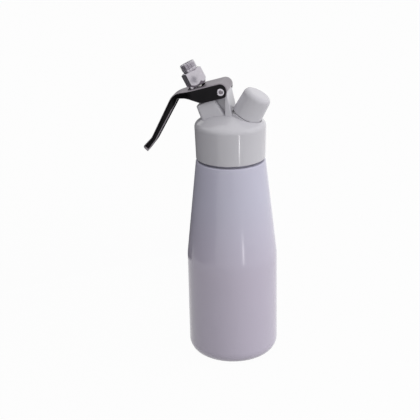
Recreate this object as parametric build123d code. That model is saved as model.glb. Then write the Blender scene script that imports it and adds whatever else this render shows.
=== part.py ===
from build123d import *
from math import cos, radians, sin, sqrt, tan
import os

os.makedirs("parts", exist_ok=True)

# Whipped cream dispenser for half a litre. Millimetres, +Z up, origin in the middle of the base.
# The lever and the nozzle lean to -X, the charger inlet leans to +X, and XZ is the mirror plane.

# ---------------------------------------------------------------- clearances
BODY_GAP = 0.3          # between pieces that move apart
RUN_GAP = 0.05          # radial, shaft in its bush

# ---------------------------------------------------------------- bottle
BOTTLE_R = 40.0
BOTTLE_WALL = 1.2
BASE_CORNER_R = 12.0
BODY_TOP_Z = 95.0       # where the straight body turns into the cone
SHOULDER_Z = 182.0      # flat shoulder under the head
SHOULDER_R = 30.4
SHOULDER_EDGE_R = 1.5
CONE_BLEND_R = 60.0     # soft turn between body and cone
NECK_R = 25.6
NECK_WALL = 1.4
NECK_ROOT_R = 0.8
LIP_EDGE_R = 0.6
MOUTH_Z = 207.2
BASE_GROOVE_R = 24.0    # stiffening groove pressed into the flat base
BASE_GROOVE_W = 4.0
BASE_GROOVE_DEPTH = 0.8

# ---------------------------------------------------------------- head shell
SKIRT_GAP = 2.5         # open gap between shoulder and skirt
SKIRT_R = 30.2          # at the lower edge
SKIRT_TOP_R = 31.0      # where the dome starts
DOME_R = 53.0
DOME_TOP_Z = 224.7
DOME_EDGE_R = 5.0
DOME_ARC_POINT = 30.0   # points inside the edge's and the crown's arcs, as angles
DOME_CROWN_POINT = 12.0
INSERT_WALL = 2.0
INSERT_LEN = 18.0
INSERT_LIP = 2.0        # from the skirt's lower edge up to the insert
GASKET_T = 3.0
GASKET_W = 5.0
CHAMBER_R = 19.5
CHAMBER_H = 3.2         # above the gasket

# ---------------------------------------------------------------- valve axis
VALVE_FOOT_Z = 192.5    # where the valve axis meets the bottle's axis
VALVE_TILT = 27.0       # from vertical, towards -X
TOWER_TOP = 46.4        # all these run along the valve axis from its foot
TOWER_X = 17.4          # width of the tower's top
TOWER_Y = 20.0
TOWER_SHIFT = 1.2       # middle of the tower, from the valve axis towards the post
TOWER_CORNER = 2.6
TOWER_DRAFT = 7.0
SPRING_POCKET_R = 5.9
SPRING_POCKET_DEPTH = 5.4
SEAT_S = 24.5           # face that the lower seal closes against
SEAT_POCKET_R = 8.4
PORT_R = 5.5            # passage for the cream round the stem

STEM_R = 3.0
STEM_BORE_R = 1.7
STEM_FLANGE_R = 6.6
STEM_FLANGE_T = 1.6
SEAT_SEAL_R = 7.0
SEAT_SEAL_T = 2.0
STEM_LAND_R = 4.6       # thicker stretch that carries the O-ring
STEM_LAND_LEN = 5.6
STEM_LAND_S = 28.2      # lower end of that stretch
ORING_WIRE_R = 0.9
CROSS_HOLE_R = 1.2
GUIDE_LEN = 6.0
GUIDE_FLANGE_T = 1.2
STEM_IN_ADAPTER = 8.0   # length of stem screwed and glued into the adapter

COLLAR_R = 9.4
COLLAR_DOME_R = 14.0    # the lever rolls on this round top
COLLAR_FLAT_R = 6.0
COLLAR_SKIRT = 3.2
COLLAR_SINK = 0.2       # collar's underside below the rim of its round top
CLIP_T = 0.8
CLIP_R = 4.1
SPRING_WIRE_R = 0.5
SPRING_MEAN_R = 4.9
SPRING_TURNS = 4.5

ADAPTER_RISE = 3.8      # lower end of the hexagonal adapter above the collar's flat top
HEX_AF = 16.0
HEX_LEN = 14.1
HEX_TAPER_LEN = 3.6
HEX_TAPER_R = 2.2
HEX_TOP_CHAMFER = 0.9
BORE_TAPER_LEN = 3.0
NOZZLE_THREAD_R = 6.85
NOZZLE_THREAD_LEN = 7.4  # with the relief under it
NOZZLE_BORE_R = 4.3
NOZZLE_NECK_R = 5.9     # relief between hexagon and thread
NOZZLE_NECK_LEN = 0.9
NOZZLE_CHAMFER = 0.6

# ---------------------------------------------------------------- lever
PIVOT_X = -5.3
PIVOT_Z = 244.7
LEVER_T = 1.2
LEVER_HALF_W = 13.0
PLATE_TILT = 16.0       # how far the plate rises towards the pivot
PLATE_H = 7.6           # plate's outer face above the pivot's axis, square to the plate
HOOD_R = 6.0            # the plate's rolled end over the post
HOOD_END = -12.0        # where the hood stops, as an angle round its own middle
PLATE_LEN = 36.5         # to the bend over the fingers
BEND_R = 16.0
HANDLE_TILT = 63.2      # from the horizontal
HANDLE_LEN = 36.7
FLARE_R = 15.0
FLARE_TURN = 19.0
FLARE_LEN = 8.4
TIP_EDGE_R = 3.5        # the sheet turns down round the tip as well
TIP_H = 6.0             # depth of the flange under the flare and round the tip
CHEEK_DROP = 5.45       # cheeks' straight lower edge, square down from the pivot's axis
NOSE_R = 3.2
BELLY_LEN = 19.2        # that straight edge, along the plate from the pivot
BELLY_R = 9.0
BELLY_TURN = 30.0       # then the edge climbs to a saddle between cheek and flange
SADDLE_R = 4.5
FLANGE_H = 6.9          # depth of the handle's flanges under the outer face
FLANGE_TAPER_LEN = 38.0 # they get shallower over this length, down to where the flare starts
FLANGE_END_H = 4.3
FLANGE_BLEND_R = 14.0
HANDLE_HALF_W = 6.6
TIP_HALF_W = 5.0
TIP_CUT = 1.0           # the round end is cut this far inside the turned edge
CHEEK_LEN = 28.5        # how far the full width reaches left of the pivot
NARROW_LEN = 13.0       # and the stretch in which it narrows to the handle
NARROW_R = 16.0
SLOT_NEAR = 15.2        # ends of the stem's slot, along the plate from the pivot
SLOT_FAR = 29.4
SLOT_HALF_W = 7.0

PIN_R = 2.0
PIN_HEAD_R = 3.2
PIN_HEAD_T = 0.9
PIN_LIP_R = 2.7
PIN_CUP_R = 1.5
PIN_CUP_DEPTH = 1.6
BUSH_WALL = 0.8
WASHER_R = 3.9
WASHER_T = 0.4
SIDE_GAP = 0.15         # each side of a washer
POST_BOSS_R = 3.8       # the hood passes round it
POST_LEFT = 3.0         # left face of the post, right of the pivot
POST_RIGHT = 5.2        # right face under the hood, and lower down where it has leaned out
POST_RIGHT_DROP = 3.0
POST_FOOT = 8.2
POST_FOOT_DROP = 16.7
POST_NECK_DROP = 6.0    # where the boss meets the left face
POST_EDGE_R = 0.8
WEB_HALF_W = 5.0        # web that ties the post to the valve tower
WEB_DROP = 3.0          # under the tower's top
WEB_BITE = 1.0          # into the post
TOWER_EDGE_R = 0.8

# ---------------------------------------------------------------- charger axis
CHARGER_FOOT_Z = 195.6
CHARGER_TILT = 29.0     # from vertical, towards +X
CAP_SEAT = 29.6         # along the charger axis from its foot
CAP_R = 13.15
CAP_END_R = 12.15
CAP_LEN = 22.7
CAP_EDGE_R = 4.4
CAP_RIM_R = 0.6
CAP_TOP_WALL = 2.6
CAP_CORE_R = 8.0
BOSS_RIM = 1.0          # seat wider than the cap
SEAT_INSET = 1.0        # seat's foot stays this far inside the head
SEAT_CUT_GAP = 0.5      # room round the cap where its seat is sunk in the dome
INLET_R = 10.3
INLET_LEN = 13.4        # above the seat
INLET_CHAMFER = 0.8
INLET_ROOT_R = 8.6
INLET_ROOT = 5.2        # depth below the seat
INLET_WEB = 2.5         # plastic between the root's bore and the pocket for the band
INLET_STUB_R = 4.0
SOCKET_R = 4.7
SOCKET_DEPTH = 11.0
CHARGER_SEAL_T = 2.0
CHARGER_SEAL_HOLE_R = 2.2
PIERCER_R = 1.5
PIERCER_TIP = 4.6       # above the socket's floor
PIERCER_ROOT = 5.0
PIERCER_CONE = 3.0
PIERCER_POINT_R = 0.3
GAS_BORE_R = 0.8
INLET_SEAL_T = 1.0
BAND_R = 5.4
BAND_LEN = 2.4
NUT_R = 6.2
NUT_LEN = 1.8
NUT_POCKET_R = 6.8
LINER_R = 10.1
LINER_T = 1.5

# ---------------------------------------------------------------- what follows from them
skirt_z = SHOULDER_Z + SKIRT_GAP
insert_in_r = NECK_R + BODY_GAP
insert_out_r = insert_in_r + INSERT_WALL
insert_z = skirt_z + INSERT_LIP
gasket_z = MOUTH_Z + BODY_GAP
gasket_out_r = insert_out_r - BODY_GAP
gasket_in_r = gasket_out_r - GASKET_W
chamber_z = gasket_z + GASKET_T + BODY_GAP
ceiling_z = chamber_z + CHAMBER_H
bush_r = PIN_R + RUN_GAP + BUSH_WALL
cheek_in = LEVER_HALF_W - LEVER_T
post_half_w = cheek_in - WASHER_T - 2 * SIDE_GAP
inlet_root_s = CAP_SEAT - INLET_ROOT
pocket_s = inlet_root_s - INLET_WEB
spring_floor_s = TOWER_TOP - SPRING_POCKET_DEPTH

valve_frame = Location(Plane(origin=(0, 0, VALVE_FOOT_Z),
                             x_dir=(cos(radians(VALVE_TILT)), 0, sin(radians(VALVE_TILT))),
                             z_dir=(-sin(radians(VALVE_TILT)), 0, cos(radians(VALVE_TILT)))))
charger_frame = Location(Plane(origin=(0, 0, CHARGER_FOOT_Z),
                               x_dir=(cos(radians(CHARGER_TILT)), 0, -sin(radians(CHARGER_TILT))),
                               z_dir=(sin(radians(CHARGER_TILT)), 0, cos(radians(CHARGER_TILT)))))
side_plane = Plane(origin=(0, 0, 0), x_dir=(1, 0, 0), z_dir=(0, -1, 0))
bottom_up = (Align.CENTER, Align.CENTER, Align.MIN)


def rod(r, low, high):
    """Round bar round the local Z axis, from low to high."""
    return Pos(0, 0, low) * Cylinder(r, high - low, align=bottom_up)


def tube(r_out, r_in, low, high):
    """Round tube round the local Z axis."""
    return rod(r_out, low, high) - rod(r_in, low - 1, high + 1)


def cone(r_low, r_high, low, high):
    """Cone or taper round the local Z axis."""
    return Pos(0, 0, low) * Cone(r_low, r_high, high - low, align=bottom_up)


def turned(*edges):
    """Solid of revolution from edges drawn in XZ; the wire is closed by a straight line."""
    return revolve(Plane.XZ * make_face(edges), Axis.Z)


def solid_of(shape):
    """The single solid in a result."""
    return shape.solids()[0] if len(shape.solids()) == 1 else shape


# ---------------------------------------------------------------- bottle
def bottle_form(inset, top_z, neck_r):
    """Body, cone, shoulder and neck as a full solid, each face inset by the wall."""
    r = BOTTLE_R - inset
    corner = BASE_CORNER_R - inset
    shoulder_r = SHOULDER_R - inset
    shoulder_z = SHOULDER_Z - inset
    points = [(0, inset), (r, inset), (r, BODY_TOP_Z), (shoulder_r, shoulder_z), (neck_r, shoulder_z),
              (neck_r, top_z), (0, top_z)]
    scale = 1.0 if inset == 0 else 0.5
    outline = FilletPolyline(*points, radius=[corner, CONE_BLEND_R, SHOULDER_EDGE_R * scale,
                                              NECK_ROOT_R + inset, LIP_EDGE_R * scale])
    return turned(*outline.edges(), Line((0, top_z), (0, inset)))


def make_bottle():
    outer = bottle_form(0, MOUTH_Z, NECK_R)
    inner = bottle_form(BOTTLE_WALL, MOUTH_Z + NECK_R, NECK_R - NECK_WALL)
    groove = Pos(0, 0, 0) * Torus(BASE_GROOVE_R, BASE_GROOVE_W / 2)
    groove = groove & rod(BOTTLE_R, -1, BASE_GROOVE_DEPTH)
    return outer - inner - groove


# ---------------------------------------------------------------- head
def dome_form():
    """Skirt and low dome of the head, without its tower, post and seat."""
    centre_z = DOME_TOP_Z - DOME_R
    edge_c_r = SKIRT_TOP_R - DOME_EDGE_R
    edge_c_z = centre_z + sqrt((DOME_R - DOME_EDGE_R) ** 2 - edge_c_r ** 2)
    reach = DOME_R / (DOME_R - DOME_EDGE_R)
    join = (edge_c_r * reach, centre_z + (edge_c_z - centre_z) * reach)
    rise = radians(DOME_ARC_POINT)
    half = (edge_c_r + DOME_EDGE_R * cos(rise), edge_c_z + DOME_EDGE_R * sin(rise))
    lean = radians(DOME_CROWN_POINT)
    crown = (DOME_R * sin(lean), centre_z + DOME_R * cos(lean))
    return turned(Line((0, skirt_z), (SKIRT_R, skirt_z)),
                  Line((SKIRT_R, skirt_z), (SKIRT_TOP_R, edge_c_z)),
                  ThreePointArc((SKIRT_TOP_R, edge_c_z), half, join),
                  ThreePointArc(join, crown, (0, DOME_TOP_Z)),
                  Line((0, DOME_TOP_Z), (0, skirt_z)))


def tower_form():
    """Valve tower: a drafted block with round corners along the valve axis."""
    low = SEAT_S
    grow = 2 * (TOWER_TOP - low) * tan(radians(TOWER_DRAFT))
    top = Pos(TOWER_SHIFT, 0, TOWER_TOP) * RectangleRounded(TOWER_X, TOWER_Y, TOWER_CORNER)
    foot = Pos(TOWER_SHIFT, 0, low) * RectangleRounded(TOWER_X + grow, TOWER_Y + grow / 4, TOWER_CORNER)
    block = loft([foot, top])
    return valve_frame * fillet(block.edges().group_by(Axis.Z)[-1], TOWER_EDGE_R)


def post_form():
    """Post that carries the lever's pivot, standing on the dome between tower and charger seat."""
    low_z = ceiling_z - 1
    left_x, right_x, foot_x = PIVOT_X + POST_LEFT, PIVOT_X + POST_RIGHT, PIVOT_X + POST_FOOT
    neck_z, right_z, foot_z = PIVOT_Z - POST_NECK_DROP, PIVOT_Z - POST_RIGHT_DROP, PIVOT_Z - POST_FOOT_DROP
    low_x = foot_x + (foot_x - right_x) / (right_z - foot_z) * (foot_z - low_z)
    outline = Polyline((left_x, low_z), (left_x, neck_z), (right_x, right_z), (low_x, low_z), close=True)
    slab = extrude(side_plane * make_face(outline.edges()), post_half_w, both=True)
    corners = slab.edges().filter_by(lambda e: abs(e.center().Y) > post_half_w - BODY_GAP)
    slab = fillet(corners.filter_by(lambda e: low_z + 1 < e.center().Z < neck_z), POST_EDGE_R)
    ring = Pos(PIVOT_X, PIVOT_Z) * Circle(POST_BOSS_R)
    head = make_hull(ring.edges() + [Line((left_x, neck_z), (right_x, right_z))])
    return slab + extrude(side_plane * head, post_half_w, both=True)


def web_form():
    """Web between tower and post, no higher than the tower's sloping top."""
    run = radians(VALVE_TILT)
    top_x, top_z = -TOWER_TOP * sin(run), VALVE_FOOT_Z + TOWER_TOP * cos(run) - WEB_DROP
    right_x = PIVOT_X + POST_LEFT + WEB_BITE
    outline = Polyline((top_x, ceiling_z), (top_x, top_z), (right_x, top_z + (right_x - top_x) * tan(run)),
                       (right_x, ceiling_z), close=True)
    return extrude(side_plane * make_face(outline.edges()), WEB_HALF_W, both=True)


def make_head_shell():
    body = dome_form()
    body = body + tower_form()
    body = body + post_form() + web_form()
    seat = charger_frame * rod(CAP_R + BOSS_RIM, CAP_SEAT / 2, CAP_SEAT)
    body = body + (seat & rod(SKIRT_TOP_R - SEAT_INSET, ceiling_z - SEAT_INSET, CAP_SEAT + CHARGER_FOOT_Z))
    body = body - charger_frame * rod(CAP_R + SEAT_CUT_GAP, CAP_SEAT, CAP_SEAT + 2 * CAP_LEN)
    inside = rod(insert_out_r, skirt_z - 1, chamber_z) + rod(CHAMBER_R, chamber_z - 1, ceiling_z)
    bores = valve_frame * (rod(SEAT_POCKET_R, SEAT_S / 2, SEAT_S) + rod(PORT_R, SEAT_S / 2, TOWER_TOP + 1)
                           + rod(SPRING_POCKET_R, spring_floor_s, TOWER_TOP + 1))
    inlet = charger_frame * (rod(INLET_ROOT_R, inlet_root_s, CAP_SEAT + 1)
                             + rod(INLET_STUB_R, SEAT_INSET, CAP_SEAT)
                             + rod(NUT_POCKET_R, SEAT_INSET, pocket_s))
    pivot = Pos(PIVOT_X, 0, PIVOT_Z) * Rot(90, 0, 0) * Cylinder(bush_r, 4 * post_half_w)
    return body - inside - bores - inlet - pivot


def make_thread_insert():
    return tube(insert_out_r, insert_in_r, insert_z, insert_z + INSERT_LEN)


def make_head_gasket():
    return tube(gasket_out_r, gasket_in_r, gasket_z, gasket_z + GASKET_T)


def make_pivot_bush():
    ring = tube(bush_r, PIN_R + RUN_GAP, -post_half_w, post_half_w)
    return Pos(PIVOT_X, 0, PIVOT_Z) * Rot(90, 0, 0) * ring


# ---------------------------------------------------------------- valve
def collar_centre():
    """Where the centre of the collar's round top lies on the valve axis, from the lever's plate."""
    axis = (-sin(radians(VALVE_TILT)), cos(radians(VALVE_TILT)))
    normal = (-sin(radians(PLATE_TILT)), cos(radians(PLATE_TILT)))
    from_pivot = (0 - PIVOT_X, VALVE_FOOT_Z - PIVOT_Z)
    height = PLATE_H - LEVER_T - BODY_GAP - COLLAR_DOME_R
    along = normal[0] * axis[0] + normal[1] * axis[1]
    return (height - normal[0] * from_pivot[0] - normal[1] * from_pivot[1]) / along


collar_c = collar_centre()
collar_flat_s = collar_c + sqrt(COLLAR_DOME_R ** 2 - COLLAR_FLAT_R ** 2)
collar_rim_s = collar_c + sqrt(COLLAR_DOME_R ** 2 - COLLAR_R ** 2)
collar_under_s = collar_rim_s - COLLAR_SINK
adapter_s = collar_flat_s + ADAPTER_RISE
stem_top_s = adapter_s + STEM_IN_ADAPTER
seal_top_s = SEAT_S - BODY_GAP
flange_top_s = seal_top_s - SEAT_SEAL_T
stem_low_s = flange_top_s - STEM_FLANGE_T


def make_valve_stem():
    body = rod(STEM_R, stem_low_s, stem_top_s) + rod(STEM_FLANGE_R, stem_low_s, flange_top_s)
    land_top = STEM_LAND_S + STEM_LAND_LEN
    body = body + rod(STEM_LAND_R, STEM_LAND_S, land_top)
    groove_s = STEM_LAND_S + STEM_LAND_LEN / 2
    body = body - tube(STEM_LAND_R + 1, PORT_R - RUN_GAP - 2 * ORING_WIRE_R,
                       groove_s - ORING_WIRE_R, groove_s + ORING_WIRE_R)
    holes_s = (seal_top_s + STEM_LAND_S) / 2
    body = body - rod(STEM_BORE_R, holes_s - STEM_BORE_R, stem_top_s + 1)
    for turn in (0, 90):
        hole = Cylinder(CROSS_HOLE_R, 4 * STEM_LAND_R)
        body = body - Pos(0, 0, holes_s) * Rot(0, 0, turn) * Rot(90, 0, 0) * hole
    return valve_frame * body


def make_seat_seal():
    return valve_frame * tube(SEAT_SEAL_R, STEM_R, flange_top_s, seal_top_s)


def make_stem_oring():
    groove_s = STEM_LAND_S + STEM_LAND_LEN / 2
    return valve_frame * Pos(0, 0, groove_s) * Torus(PORT_R - RUN_GAP - ORING_WIRE_R, ORING_WIRE_R)


def make_stem_guide():
    low = spring_floor_s - GUIDE_LEN
    body = rod(PORT_R, low, spring_floor_s)
    body = body + rod(SPRING_POCKET_R, spring_floor_s, spring_floor_s + GUIDE_FLANGE_T)
    return valve_frame * (body - rod(STEM_R + RUN_GAP, low - 1, TOWER_TOP + 1))


def make_valve_collar():
    """Cup over the spring with a round top, which the lever's plate presses beside its slot."""
    half_r = (COLLAR_FLAT_R + COLLAR_R) / 2
    half = (half_r, collar_c + sqrt(COLLAR_DOME_R ** 2 - half_r ** 2))
    skirt_s = collar_rim_s - COLLAR_SKIRT
    cup = turned(Line((STEM_R, skirt_s), (COLLAR_R, skirt_s)),
                 Line((COLLAR_R, skirt_s), (COLLAR_R, collar_rim_s)),
                 ThreePointArc((COLLAR_R, collar_rim_s), half, (COLLAR_FLAT_R, collar_flat_s)),
                 Line((COLLAR_FLAT_R, collar_flat_s), (STEM_R, collar_flat_s)),
                 Line((STEM_R, collar_flat_s), (STEM_R, skirt_s)))
    spring_out_r = SPRING_MEAN_R + SPRING_WIRE_R + BODY_GAP
    return valve_frame * (cup - tube(spring_out_r, STEM_R - 1, skirt_s - 1, collar_under_s))


def make_collar_clip():
    """Clip in a groove of the stem under the collar."""
    ring = tube(CLIP_R, STEM_R, collar_under_s - CLIP_T, collar_under_s)
    mouth = Pos(CLIP_R, 0, collar_under_s) * Box(2 * CLIP_R, STEM_R, 4 * CLIP_T)
    return valve_frame * (ring - mouth)


def make_valve_spring():
    low = spring_floor_s + GUIDE_FLANGE_T + SPRING_WIRE_R + RUN_GAP
    high = collar_under_s - SPRING_WIRE_R - RUN_GAP
    pitch = (high - low) / SPRING_TURNS
    path = Pos(0, 0, low) * Helix(pitch, high - low, SPRING_MEAN_R)
    start = path @ 0
    section = Plane(origin=start, z_dir=path % 0) * Circle(SPRING_WIRE_R)
    return valve_frame * sweep(section, path)


def make_nozzle_adapter():
    hex_r = HEX_AF / 2 / cos(radians(30))
    top_s = adapter_s + HEX_LEN
    bar = extrude(Pos(0, 0, adapter_s) * Rot(0, 0, 30) * RegularPolygon(hex_r, 6), HEX_LEN)
    low_r = hex_r - HEX_TAPER_R
    full_r = hex_r + RUN_GAP
    round_off = (cone(low_r, full_r, adapter_s, adapter_s + HEX_TAPER_LEN)
                 + rod(full_r, adapter_s + HEX_TAPER_LEN, top_s - HEX_TOP_CHAMFER)
                 + cone(full_r, hex_r - 2 * HEX_TOP_CHAMFER, top_s - HEX_TOP_CHAMFER, top_s))
    body = bar & round_off
    thread_s = top_s + NOZZLE_NECK_LEN
    end_s = top_s + NOZZLE_THREAD_LEN
    body = body + rod(NOZZLE_NECK_R, top_s - NOZZLE_NECK_LEN, thread_s)
    thread = rod(NOZZLE_THREAD_R, thread_s, end_s)
    body = body + chamfer(thread.edges().group_by(Axis.Z)[-1], NOZZLE_CHAMFER)
    wide_s = stem_top_s + BORE_TAPER_LEN
    body = body - rod(STEM_R, adapter_s - 1, stem_top_s) - rod(NOZZLE_BORE_R, wide_s, end_s + 1)
    return valve_frame * (body - cone(STEM_BORE_R, NOZZLE_BORE_R, stem_top_s, wide_s))


# ---------------------------------------------------------------- lever
def walk(start, heading, steps):
    """Edges of a path of lines ("line", length) and arcs ("arc", radius, turn), and its end."""
    edges, (x, z) = [], start
    for step in steps:
        if step[0] == "line":
            nx, nz = x + step[1] * cos(radians(heading)), z + step[1] * sin(radians(heading))
            edges.append(Line((x, z), (nx, nz)))
        else:
            radius, turn = step[1], step[2]
            side = 90 if turn > 0 else -90
            cx, cz = x + radius * cos(radians(heading + side)), z + radius * sin(radians(heading + side))
            points = []
            for part in (0.5, 1.0):
                angle = radians(heading - side + turn * part)
                points.append((cx + radius * cos(angle), cz + radius * sin(angle)))
            nx, nz = points[1]
            edges.append(ThreePointArc((x, z), points[0], points[1]))
            heading += turn
        x, z = nx, nz
    return edges, (x, z), heading


def beside(start, heading, along, depth):
    """Point that lies along a heading from start, and depth to the left of it."""
    c, s = cos(radians(heading)), sin(radians(heading))
    return (start[0] + along * c - depth * s, start[1] + along * s + depth * c)


def crossing(a, heading_a, b, heading_b):
    """Where a line from a and a line from b cross."""
    ax, az = cos(radians(heading_a)), sin(radians(heading_a))
    bx, bz = cos(radians(heading_b)), sin(radians(heading_b))
    along = ((b[0] - a[0]) * bz - (b[1] - a[1]) * bx) / (ax * bz - az * bx)
    return (a[0] + along * ax, a[1] + along * az)


plate_heading = 180 + PLATE_TILT
handle_heading = 180 + HANDLE_TILT
lever_pivot = (PIVOT_X, PIVOT_Z)
hood_centre = beside(lever_pivot, plate_heading, 0, HOOD_R - PLATE_H)


def lever_back(inset):
    """The sheet's line from the hood over the plate, down the handle and round its tip."""
    start = beside(hood_centre, HOOD_END, HOOD_R - inset, 0)
    steps = [("arc", HOOD_R - inset, 90 + PLATE_TILT - HOOD_END), ("line", PLATE_LEN),
             ("arc", BEND_R - inset, HANDLE_TILT - PLATE_TILT), ("line", HANDLE_LEN),
             ("arc", FLARE_R + inset, -FLARE_TURN), ("line", FLARE_LEN),
             ("arc", TIP_EDGE_R - inset, 90), ("line", TIP_H - TIP_EDGE_R)]
    return walk(start, HOOD_END + 90, steps)


def lever_rim(hood_end, tip):
    """Lower edge of flanges and cheeks, from the tip back to the hood's end."""
    bend_reach = BEND_R * tan(radians(HANDLE_TILT - PLATE_TILT) / 2)
    flare_reach = FLARE_R * tan(radians(FLARE_TURN) / 2)
    plate_start = beside(lever_pivot, plate_heading, 0, -PLATE_H)
    bend = beside(plate_start, plate_heading, PLATE_LEN + bend_reach, 0)
    flare = beside(bend, handle_heading, bend_reach + HANDLE_LEN + flare_reach, 0)
    shallow = beside(flare, handle_heading, 0, FLANGE_END_H)
    deep = beside(flare, handle_heading, -FLANGE_TAPER_LEN, FLANGE_H)
    belly = beside(lever_pivot, plate_heading, BELLY_LEN, CHEEK_DROP)
    saddle = crossing(belly, plate_heading - BELLY_TURN, deep, handle_heading)
    nose = crossing(belly, plate_heading, hood_end, HOOD_END + 90)
    return FilletPolyline(tip, shallow, deep, saddle, belly, nose, hood_end,
                          radius=[FLANGE_BLEND_R, FLANGE_BLEND_R, SADDLE_R, BELLY_R, NOSE_R])


def lever_side():
    """Side view of the lever: the sheet's outer line and the lower edge of cheeks and flanges."""
    edges, tip, heading = lever_back(0)
    start = edges[0] @ 0
    return make_face(edges + lever_rim((start.X, start.Y), tip).edges())


def lever_inside():
    """Side view of the room inside the sheet, open downwards."""
    edges, tip, heading = lever_back(LEVER_T)
    start = edges[0] @ 0
    out = beside((start.X, start.Y), HOOD_END, 2 * HOOD_R, 0)
    below = beside(tip, heading, 2 * TIP_H, 0)
    rest = Polyline(tip, below, (out[0], below[1]), out, (start.X, start.Y))
    return make_face(edges + rest.edges())


def lever_plan(inset):
    """Plan of the lever, from full width at the cheeks to the rounded tip."""
    edges, tip, heading = lever_back(0)
    tip_x = edges[-2].bounding_box().min.X + TIP_CUT + inset
    right = PIVOT_X + 2 * HOOD_R
    cheek_x = PIVOT_X - CHEEK_LEN
    round_x = tip_x + TIP_HALF_W - inset
    sides = []
    for side in (1, -1):
        wide, mid, narrow = [side * (w - inset) for w in (LEVER_HALF_W, HANDLE_HALF_W, TIP_HALF_W)]
        points = [(right, wide), (cheek_x, wide), (cheek_x - NARROW_LEN, mid), (round_x, narrow)]
        sides.append(FilletPolyline(*points, radius=[NARROW_R, NARROW_R]))
    end = ThreePointArc(sides[0] @ 1, (tip_x, 0), sides[1] @ 1)
    return make_face(sides[0].edges() + [end] + sides[1].edges() + [Line(sides[0] @ 0, sides[1] @ 0)])


def lever_form(side, inset, low_z):
    """Side view and plan together."""
    high_z = PIVOT_Z + 2 * PLATE_H
    return (extrude(side_plane * side, LEVER_HALF_W + 1, both=True)
            & (Pos(0, 0, low_z) * extrude(lever_plan(inset), high_z - low_z)))


def make_lever():
    low_z = 0
    body = lever_form(lever_side(), 0, low_z) - lever_form(lever_inside(), LEVER_T, low_z)
    middle = (SLOT_NEAR + SLOT_FAR) / 2
    slot = Box(SLOT_FAR - SLOT_NEAR, 2 * SLOT_HALF_W, 6 * LEVER_T)
    slot = Pos(PIVOT_X, 0, PIVOT_Z) * Rot(0, -PLATE_TILT, 0) * Pos(-middle, 0, PLATE_H - LEVER_T / 2) * slot
    hole = Pos(PIVOT_X, 0, PIVOT_Z) * Rot(90, 0, 0) * Cylinder(PIN_R, 4 * LEVER_HALF_W)
    return body - slot - hole


def make_pivot_pin():
    """Rivet through both cheeks, with a hollow end on each side."""
    body = rod(PIN_R, -LEVER_HALF_W, LEVER_HALF_W)
    for side in (1, -1):
        head = cone(PIN_HEAD_R, PIN_LIP_R, LEVER_HALF_W, LEVER_HALF_W + PIN_HEAD_T)
        cup = rod(PIN_CUP_R, LEVER_HALF_W + PIN_HEAD_T - PIN_CUP_DEPTH, LEVER_HALF_W + 2 * PIN_HEAD_T)
        turn = Rot(0, 0, 0) if side > 0 else Rot(180, 0, 0)
        body = body + turn * head
        body = body - turn * cup
    return Pos(PIVOT_X, 0, PIVOT_Z) * Rot(90, 0, 0) * body


def make_pivot_washers():
    low = post_half_w + SIDE_GAP
    ring = tube(WASHER_R, PIN_R, low, low + WASHER_T)
    pair = [ring, Rot(180, 0, 0) * ring]
    return Compound(children=[Pos(PIVOT_X, 0, PIVOT_Z) * Rot(90, 0, 0) * one for one in pair])


# ---------------------------------------------------------------- charger inlet
socket_s = CAP_SEAT + INLET_LEN - SOCKET_DEPTH
inlet_top_s = CAP_SEAT + INLET_LEN
stub_low_s = pocket_s - BAND_LEN - NUT_LEN


def make_charger_inlet():
    body = rod(INLET_R, CAP_SEAT, inlet_top_s)
    body = chamfer(body.edges().group_by(Axis.Z)[-1], INLET_CHAMFER)
    body = body + rod(INLET_ROOT_R, inlet_root_s + INLET_SEAL_T, CAP_SEAT + INLET_CHAMFER)
    body = body + rod(INLET_STUB_R, stub_low_s, CAP_SEAT)
    body = body - rod(SOCKET_R, socket_s - CHARGER_SEAL_T, inlet_top_s + 1)
    body = body - rod(PIERCER_R, socket_s - CHARGER_SEAL_T - PIERCER_ROOT, inlet_top_s)
    vent_s = stub_low_s + NUT_LEN + BAND_LEN / 2
    body = body - rod(GAS_BORE_R, vent_s - GAS_BORE_R / 2, socket_s)
    vent = Pos(0, 0, vent_s) * Rot(0, 90, 0)
    return charger_frame * (body - vent * Cylinder(GAS_BORE_R, 2 * INLET_R))


def make_inlet_seal():
    return charger_frame * tube(INLET_ROOT_R, INLET_STUB_R, inlet_root_s, inlet_root_s + INLET_SEAL_T)


def make_charger_seal():
    return charger_frame * tube(SOCKET_R, CHARGER_SEAL_HOLE_R, socket_s - CHARGER_SEAL_T, socket_s)


def make_piercing_pin():
    low = socket_s - CHARGER_SEAL_T - PIERCER_ROOT
    cone_s = socket_s + PIERCER_TIP - PIERCER_CONE
    body = rod(PIERCER_R, low, cone_s) + cone(PIERCER_R, PIERCER_POINT_R, cone_s, socket_s + PIERCER_TIP)
    flat = Box(PIERCER_R, 4 * PIERCER_R, 2 * PIERCER_CONE)
    return charger_frame * (body - rod(GAS_BORE_R, low - 1, socket_s) - Pos(PIERCER_R, 0, socket_s) * flat)


def make_check_band():
    low = stub_low_s + NUT_LEN
    return charger_frame * tube(BAND_R, INLET_STUB_R, low, low + BAND_LEN)


def make_check_nut():
    flats = extrude(Pos(0, 0, stub_low_s) * RegularPolygon(NUT_R, 6), NUT_LEN)
    return charger_frame * (flats - rod(INLET_STUB_R, stub_low_s - 1, stub_low_s + NUT_LEN + 1))


def make_cap_liner():
    low = inlet_top_s + BODY_GAP
    return charger_frame * rod(LINER_R, low, low + LINER_T)


def make_charger_cap():
    low = CAP_SEAT + BODY_GAP
    top = low + CAP_LEN
    outline = FilletPolyline((0, low), (CAP_R, low), (CAP_END_R, top), (0, top),
                             radius=[CAP_RIM_R, CAP_EDGE_R])
    body = turned(*outline.edges(), Line((0, top), (0, low)))
    ledge = inlet_top_s + 2 * BODY_GAP + LINER_T
    body = body - rod(INLET_R + BODY_GAP, low - 1, ledge) - rod(CAP_CORE_R, low, top - CAP_TOP_WALL)
    return charger_frame * body


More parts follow.
